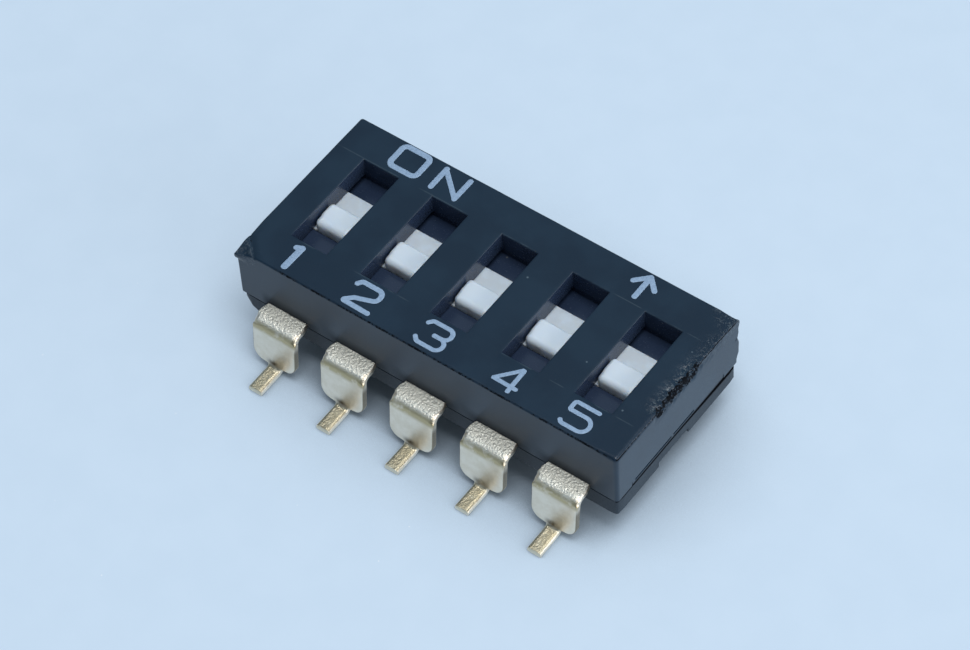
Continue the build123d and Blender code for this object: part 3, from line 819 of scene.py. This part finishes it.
NUB_STEPS = (0.0, 0.012, 0.026, 0.042, 0.060, 0.080, 0.102, 0.126, 0.160, 0.200)
PLATE_STEPS = (0.0, 0.008, 0.018, 0.030, 0.045)
slides = []
for number, x in enumerate(SWITCH_X, start=1):
    shapes = [block((x - 0.93, -0.76, 2.88), (x + 0.93, 0.93, 3.12), PLATE_STEPS, 0.045, 0.03),
              block((x - 0.61, -0.77, 2.885), (x + 0.61, 0.12, 3.52), NUB_STEPS, 0.145, 0.125, 0.075),
              block((x - 0.20, -0.50, 2.72), (x + 0.20, -0.36, 2.885), PLATE_STEPS, 0.05, 0.01)]
    offset, points, faces, slide_shade = 0, [], [], []
    for some_points, some_faces in shapes:
        points.append(some_points)
        faces.append(some_faces + offset)
        offset += len(some_points)
        # Painted shade: the middle of the nub's front face and the parts below the cover's roof are marked for
        # darkening.
        fore = 1 - smooth_step(some_points[:, 1], -0.76, -0.72)
        low = 1 - smooth_step(some_points[:, 2], 3.30, 3.45)
        nub_front_shade = fore * low * np.exp(-((some_points[:, 0] - x + 0.08) / 0.32) ** 2)
        slide_shade.append(np.maximum(0.55 * nub_front_shade, 0.14 * (some_points[:, 2] < 3.14)))
    slides.append(piece(f"slide_{number}", np.concatenate(points), np.concatenate(faces), [slide_finish],
                        painted={"slide_shade": np.concatenate(slide_shade)}))
print("slides:", len(slides), "of", len(slides[0].data.polygons), "faces")

# %% [markdown]
# ## Legends
# The numbers and ON are strokes with round ends. Text objects would bring a font's shapes, which differ from these
# plain engraver's letters. So each letter is a few straight runs, and Geometry Nodes round the corners, sweep a round
# brush along each run that thins to nothing at its ends, and press it flat to the thickness of the ink. Each stroke
# stays one closed skin, because skins that lie in the same place would flicker.

# %% Legends: the strokes
# Each stroke is (points, one corner radius or one for each point, stroke width, closed), in mm on the cover's top.
STROKES = [
    ([(-5.03, 2.03), (-4.05, 2.03), (-4.05, 2.89), (-5.03, 2.89)], 0.17, 0.19, True),
    ([(-3.45, 2.03), (-3.45, 2.84)], 0, 0.18, False),
    ([(-3.45, 2.81), (-2.60, 2.05)], 0, 0.165, False),
    ([(-2.59, 2.03), (-2.58, 2.84)], 0, 0.18, False),
    ([(3.87, 2.03), (3.87, 2.86)], 0, 0.18, False),
    ([(3.50, 2.50), (3.87, 2.87)], 0, 0.175, False),
    ([(4.24, 2.50), (3.87, 2.87)], 0, 0.17, False),
    ([(-5.155, -1.985), (-5.175, -2.785)], 0, 0.225, False),
    ([(-5.315, -2.035), (-5.17, -1.98)], 0, 0.19, False),
    ([(-3.03, -2.09), (-2.93, -1.95), (-2.15, -1.95), (-2.15, -2.33), (-2.80, -2.56), (-3.06, -2.80),
      (-2.125, -2.815)], (0, 0.1, 0.19, 0.19, 0.2, 0.03, 0), 0.17, False),
    ([(-0.475, -2.075), (-0.37, -1.945), (0.40, -1.94), (0.40, -2.36), (-0.05, -2.365)], (0, 0.12, 0.20, 0.20, 0), 0.15, False),
    ([(-0.02, -2.37), (0.40, -2.36), (0.40, -2.80), (-0.38, -2.80), (-0.50, -2.675)], (0, 0.22, 0.22, 0.15, 0), 0.145, False),
    ([(2.825, -1.95), (2.84, -2.79)], 0, 0.145, False),
    ([(2.79, -1.94), (2.225, -2.60)], 0, 0.135, False),
    ([(2.225, -2.605), (3.00, -2.615)], 0, 0.14, False),
    ([(5.45, -1.965), (4.65, -1.965), (4.65, -2.29), (5.49, -2.285), (5.49, -2.815), (4.70, -2.815), (4.63, -2.74)],
     (0, 0.08, 0.05, 0.26, 0.26, 0.12, 0), 0.14, False)]
stroke_points, stroke_edges, painted = [], [], {"corner_radius": [], "stroke_width": [], "round_ends": []}
for line_points, corner_radius, width, closed in STROKES:
    run = [Vector(p) for p in line_points]
    if not closed:
        run[0] += (run[0] - run[1]).normalized() * width / 2
        run[-1] += (run[-1] - run[-2]).normalized() * width / 2
    first_point = len(stroke_points)
    stroke_points += [(x * MM, y * MM, COVER_TOP * MM) for x, y in run]
    last_point = len(stroke_points) - 1
    stroke_edges += [(k, k + 1) for k in range(first_point, last_point)] + [(last_point, first_point)] * closed
    painted["corner_radius"] += [r * MM for r in np.broadcast_to(corner_radius, len(run)).tolist()]
    painted["stroke_width"] += [width * MM] * len(run)
    painted["round_ends"] += [float(not closed)] * len(run)
stroke_mesh = bpy.data.meshes.new("legends")
stroke_mesh.from_pydata(stroke_points, stroke_edges, [])
for label, values in painted.items():
    stroke_mesh.attributes.new(label, "FLOAT", "POINT").data.foreach_set("value", values)
legends = bpy.data.objects.new("legends", stroke_mesh)
bpy.context.scene.collection.objects.link(legends)
print("legends:", len(STROKES), "strokes,", len(stroke_points), "points")

# %% Legends: the brush as a node tree
brush_tree, brush_in, brush_out = group("pressed strokes", "GeometryNodeTree", [
    ("Lines", "IN", "Geometry", None), ("Plane height", "IN", "Float", COVER_TOP * MM),
    ("Ink thickness", "IN", "Float", INK * MM), ("Widest half stroke", "IN", "Float", 0.1125 * MM),
    ("Step", "IN", "Float", 0.018 * MM), ("Brush sides", "IN", "Int", 16), ("Ink", "OUT", "Geometry", None)])
curves = node(brush_tree, "GeometryNodeMeshToCurve", {"Mesh": brush_in["Lines"]})
turn = node(brush_tree, "GeometryNodeInputNamedAttribute", {"Name": "corner_radius"}).outputs[0]
rounded = node(brush_tree, "GeometryNodeFilletCurve", {
    "Curve": curves.outputs[0], "Radius": turn, "Limit Radius": True}, mode="POLY")
rounded.inputs["Count"].default_value = 8
stepped = node(brush_tree, "GeometryNodeResampleCurve", {"Curve": rounded.outputs[0], "Length": brush_in["Step"]},
               mode="LENGTH")
half_wide = maths(brush_tree, "MULTIPLY",
                  node(brush_tree, "GeometryNodeInputNamedAttribute", {"Name": "stroke_width"}).outputs[0], 0.5)
has_ends = node(brush_tree, "GeometryNodeInputNamedAttribute", {"Name": "round_ends"}).outputs[0]
from_start = node(brush_tree, "GeometryNodeSplineParameter").outputs["Length"]
whole = node(brush_tree, "GeometryNodeSplineLength").outputs["Length"]
from_end = maths(brush_tree, "MINIMUM", from_start, maths(brush_tree, "SUBTRACT", whole, from_start))
into_end = maths(brush_tree, "SUBTRACT", 1.0, maths(brush_tree, "DIVIDE", from_end, half_wide), clamp=True)
thinning = maths(brush_tree, "SQRT", maths(brush_tree, "MAXIMUM", maths(
    brush_tree, "SUBTRACT", 1.0, maths(brush_tree, "MULTIPLY", has_ends, maths(brush_tree, "POWER", into_end, 2.0))),
    0.0004))
round_brush = node(brush_tree, "GeometryNodeCurvePrimitiveCircle", {"Resolution": brush_in["Brush sides"], "Radius": 1.0})
swept = node(brush_tree, "GeometryNodeCurveToMesh", {
    "Curve": stepped.outputs[0], "Profile Curve": round_brush.outputs[0],
    "Scale": maths(brush_tree, "MULTIPLY", half_wide, thinning), "Fill Caps": True})
spot = node(brush_tree, "ShaderNodeSeparateXYZ", {0: node(brush_tree, "GeometryNodeInputPosition").outputs[0]}).outputs
over_plane = maths(brush_tree, "SUBTRACT", spot[2], brush_in["Plane height"])
share = maths(brush_tree, "DIVIDE", over_plane, brush_in["Widest half stroke"])
pressed = maths(brush_tree, "ADD", maths(brush_tree, "MULTIPLY", share, brush_in["Ink thickness"]),
                brush_in["Plane height"])
flat = node(brush_tree, "GeometryNodeSetPosition", {
    "Geometry": swept.outputs[0],
    "Position": node(brush_tree, "ShaderNodeCombineXYZ", {"X": spot[0], "Y": spot[1], "Z": pressed}).outputs[0]})
smooth_ink = node(brush_tree, "GeometryNodeSetShadeSmooth", {"Geometry": flat.outputs[0]})
inked = node(brush_tree, "GeometryNodeSetMaterial", {"Geometry": smooth_ink.outputs[0], "Material": ink_finish})
brush_tree.links.new(inked.outputs[0], brush_out["Ink"])
run_tree(legends, brush_tree, {"Ink thickness": INK * MM})
print("ink:", len(legends.data.polygons), "faces, top at", round(max(v.co.z for v in legends.data.vertices) / MM, 4), "mm")

# %% [markdown]
# ## Torn plastic on the right edge
# The right end of the cover has been bumped, and slivers of plastic stand up along the top edge. They follow the edge,
# so Geometry Nodes scatter small crushed flakes along it, each turned and sized at random from a fixed seed, and keep
# them all inside the block's box.

# %% Flakes along the edge
flake_tree, flake_in, flake_out = group("edge flakes", "GeometryNodeTree", [
    ("Edge", "IN", "Geometry", None), ("Count", "IN", "Int", 150), ("Smallest", "IN", "Float", 0.012 * MM),
    ("Largest", "IN", "Float", 0.055 * MM), ("Spread", "IN", "Float", 0.11 * MM), ("Seed", "IN", "Int", 3),
    ("Flakes", "OUT", "Geometry", None)])
path = node(flake_tree, "GeometryNodeMeshToCurve", {"Mesh": flake_in["Edge"]})
along = node(flake_tree, "GeometryNodeCurveToPoints", {"Curve": path.outputs[0], "Count": flake_in["Count"]}, mode="COUNT")
away = node(flake_tree, "FunctionNodeRandomValue", {0: (-1, -1, -1), 1: (0.15, 1, 0.3), "Seed": flake_in["Seed"]},
            data_type="FLOAT_VECTOR")
jitter = node(flake_tree, "ShaderNodeVectorMath", {0: away.outputs[0], "Scale": flake_in["Spread"]}, operation="SCALE")
strewn = node(flake_tree, "GeometryNodeSetPosition", {"Geometry": along.outputs["Points"], "Offset": jitter.outputs[0]})
flake = node(flake_tree, "GeometryNodeMeshIcoSphere", {"Radius": 1.0, "Subdivisions": 1})
turned = node(flake_tree, "FunctionNodeRandomValue", {0: (-3.1, -3.1, -3.1), 1: (3.1, 3.1, 3.1), "Seed": 5},
              data_type="FLOAT_VECTOR")
size = node(flake_tree, "FunctionNodeRandomValue", {2: flake_in["Smallest"], 3: flake_in["Largest"], "Seed": 9})
flattened = node(flake_tree, "ShaderNodeCombineXYZ", {
    "X": size.outputs[1], "Y": maths(flake_tree, "MULTIPLY", size.outputs[1], 1.6),
    "Z": maths(flake_tree, "MULTIPLY", size.outputs[1], 0.45)})
scattered = node(flake_tree, "GeometryNodeInstanceOnPoints", {
    "Points": strewn.outputs[0], "Instance": flake.outputs[0], "Rotation": turned.outputs[0],
    "Scale": flattened.outputs[0]})
solid_flakes = node(flake_tree, "GeometryNodeRealizeInstances", {"Geometry": scattered.outputs[0]})
kept_in = node(flake_tree, "ShaderNodeVectorMath", {
    0: node(flake_tree, "GeometryNodeInputPosition").outputs[0],
    1: (6.775 * MM, 3.0 * MM, (COVER_TOP - 0.002) * MM)}, operation="MINIMUM")
boxed = node(flake_tree, "GeometryNodeSetPosition", {"Geometry": solid_flakes.outputs[0], "Position": kept_in.outputs[0]})
dressed = node(flake_tree, "GeometryNodeSetMaterial", {"Geometry": boxed.outputs[0], "Material": housing_finish})
flake_tree.links.new(dressed.outputs[0], flake_out["Flakes"])
edge_mesh = bpy.data.meshes.new("edge_flakes")
edge_mesh.from_pydata([(6.70 * MM, y * MM, 3.72 * MM) for y in (-1.15, -0.5, 0.2, 0.9, 2.1)],
                      [(0, 1), (1, 2), (2, 3), (3, 4)], [])
edge_flakes = bpy.data.objects.new("edge_flakes", edge_mesh)
bpy.context.scene.collection.objects.link(edge_flakes)
run_tree(edge_flakes, flake_tree, {"Seed": 3})
print("flakes:", len(edge_flakes.data.polygons), "faces")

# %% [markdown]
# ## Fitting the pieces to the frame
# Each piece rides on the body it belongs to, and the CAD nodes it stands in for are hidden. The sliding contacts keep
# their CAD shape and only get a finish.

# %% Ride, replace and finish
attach(cover_shell, "housing")
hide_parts("cover")
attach(base_block, "housing")
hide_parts("base")
for side in ("front", "back"):
    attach(leads[side], "housing")
    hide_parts(*[f"{side}_terminal_{n}" for n in range(1, 6)])
for number, slide in enumerate(slides, start=1):
    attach(slide, f"switch_{number}")
    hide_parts(f"actuator_{number}")
for extra, slot in ((legends, "actuator_white"), (edge_flakes, "housing_black")):
    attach(extra, "housing")
for name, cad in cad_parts.items():
    if name.startswith("sliding"):
        cad.data.materials.clear()
        cad.data.materials.append(contact_finish)
print("pieces ride on the housing and", len(slides), "slides")

# %% [markdown]
# ## Floor and light
# The block stands on pale blue paper with a faint sparkle, whose glints are painted on as pale specks, and has hardly
# any shadow. Part of the paper's brightness is its own for the eye and for reflections, so the shadow on it stays faint
# without more light falling on the block; near the block that own brightness is dimmed by a tilted occlusion, which
# paints a soft shadow to the right and in front.

# %% Floor
floor_finish, tree, shader, place = material("floor paper")
parts = grain(tree, place, 1.6, 3.2, 0.05)
plain = mix(tree, ramp(tree, parts["Cloud"], 0.30, 0.70), (0.572, 0.706, 0.848), (0.584, 0.718, 0.860))
nearer = ramp(tree, node(tree, "ShaderNodeSeparateXYZ", {0: place}).outputs[1], 2.0, -9.0)
# Painted glints: pale specks on the paper, more of them towards the front.
paper = mix(tree, maths(tree, "MULTIPLY", maths(tree, "MULTIPLY", parts["Specks"], nearer), 0.55), plain, (0.95, 0.97, 1.0))
tree.links.new(paper, shader.inputs["Base Color"])
shader.inputs["Roughness"].default_value = 0.75
bump(tree, shader, parts["Height"], 0.1, 0.02)
path = node(tree, "ShaderNodeLightPath").outputs
seen = maths(tree, "MAXIMUM", path["Is Camera Ray"], path["Is Glossy Ray"])
# Painted shadow: occlusion towards the back left dims the paper's own brightness to the right of and in front of the
# block.
open_sky = node(tree, "ShaderNodeAmbientOcclusion", {"Distance": 5.0 * MM, "Normal": (-0.50, 0.32, 0.80)}, samples=8).outputs["AO"]
shade = maths(tree, "MAXIMUM", ramp(tree, open_sky, 0.20, 0.93), path["Is Glossy Ray"])
glow = node(tree, "ShaderNodeEmission", {"Color": paper, "Strength": shade})
blend = node(tree, "ShaderNodeMixShader", {0: maths(tree, "MULTIPLY", seen, 0.62), 1: shader.outputs[0], 2: glow.outputs[0]})
tree.links.new(blend.outputs[0], tree.nodes["Material Output"].inputs["Surface"])
floor_mesh = bpy.data.meshes.new("floor")
floor_mesh.from_pydata([(-0.6, -0.6, 0), (0.6, -0.6, 0), (0.6, 0.6, 0), (-0.6, 0.6, 0)], [], [(0, 1, 2, 3)])
floor_mesh.materials.append(floor_finish)
floor = bpy.data.objects.new("floor", floor_mesh)
bpy.context.scene.collection.objects.link(floor)
floor.location.z = -0.005 * MM
print("floor is", round(floor.dimensions.x, 2), "m wide")

# %% [markdown]
# The room is bright behind the block and dark in front of it, where the photographer stands. That is why the front
# edges are dark lines, which the housing also paints in as painted shade, and the right-hand edges of the leads flash.
# A direction in the world shader gives that difference, one big lamp above gives most of the light, and one low on the
# right gives the leads their flashes.

# %% Light
world = bpy.data.worlds.new("soft room")
world.use_nodes = True
tree = world.node_tree
way = node(tree, "ShaderNodeSeparateXYZ", {0: node(tree, "ShaderNodeTexCoord").outputs["Generated"]}).outputs
height = ramp(tree, way[2], 0.05, 0.70, 0.15, 1.0)
behind = ramp(tree, way[1], -0.60, 0.45, 0.40, 1.0)
sky = mix(tree, maths(tree, "MULTIPLY", height, behind), (0.02, 0.025, 0.03), (0.30, 0.40, 0.50))
tree.links.new(sky, tree.nodes["Background"].inputs["Color"])
tree.nodes["Background"].inputs["Strength"].default_value = 1.0
bpy.context.scene.world = world


def soft_lamp(name, place, wide, tall, power):
    """An area lamp at a place in metres, aimed at the block."""
    lamp = bpy.data.objects.new(name, bpy.data.lights.new(name, "AREA"))
    lamp.data.shape = "RECTANGLE"
    lamp.data.size, lamp.data.size_y, lamp.data.energy = wide, tall, power
    bpy.context.scene.collection.objects.link(lamp)
    lamp.matrix_world = Vector(place).to_track_quat("Z", "Y").to_matrix().to_4x4()
    lamp.matrix_world.translation = place
    return lamp


soft_lamp("overhead", (0.06, 0.0, 0.275), 0.14, 0.14, 0.525)
soft_lamp("low right", (0.21, 0.0, 0.060), 0.27, 0.12, 0.40)
